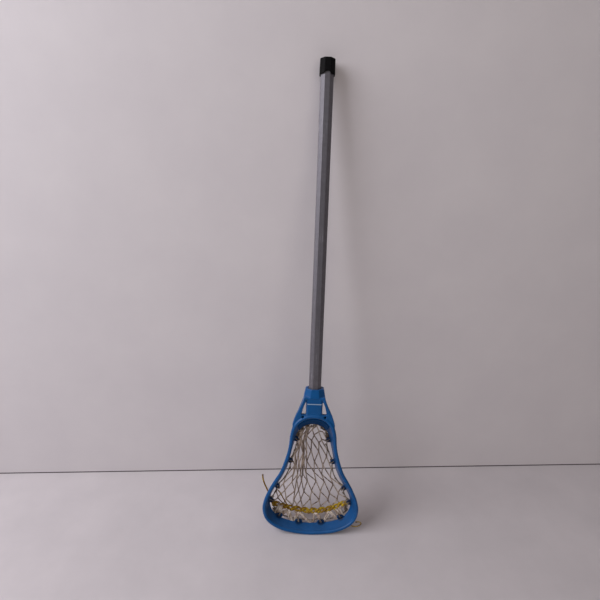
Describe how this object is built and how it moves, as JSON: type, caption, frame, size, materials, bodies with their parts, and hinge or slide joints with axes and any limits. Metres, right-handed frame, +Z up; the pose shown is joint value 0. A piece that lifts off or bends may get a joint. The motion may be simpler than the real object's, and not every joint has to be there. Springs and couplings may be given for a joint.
{
  "type": "lacrosse stick",
  "caption": "Junior lacrosse stick: moulded plastic head with a laced mesh pocket on a hollow octagonal aluminium shaft with a rubber end cap.",
  "frame": {"origin": "the grip point, on the shaft's axis half way up the bare shaft", "axes": "+Z up the shaft from the scoop to the end cap, +X to the right, and -Y out of the head's open face"},
  "size_m": [0.1689, 0.0536, 0.733],
  "materials": {
    "head_plastic": "moulded, satin",
    "foam_pad": "closed-cell foam, matte",
    "shaft_aluminium": "satin anodised",
    "cap_rubber": "matte rubber",
    "screw_steel": "zinc plated",
    "pocket_mesh": "knotted nylon, matte",
    "white_string": "braided nylon",
    "yellow_string": "braided nylon"
  },
  "bodies": {
    "stick": {"head_frame": "head_plastic", "ball_stop_pad": "foam_pad", "shaft": "shaft_aluminium", "head_screw": "screw_steel", "mesh_pocket": "pocket_mesh", "throat_string": "white_string", "top_string": "white_string", "sidewall_string_left": "white_string", "sidewall_string_right": "white_string", "shooting_string": "yellow_string", "string_tail_left": "yellow_string", "string_tail_right": "yellow_string"},
    "cap": {"end_cap": "cap_rubber"}
  },
  "joints": [
    {"name": "cap_pull", "type": "slide", "parent": "stick", "child": "cap", "axis": [0, 0, 1], "range_m": [0, 0.024]}
  ]
}
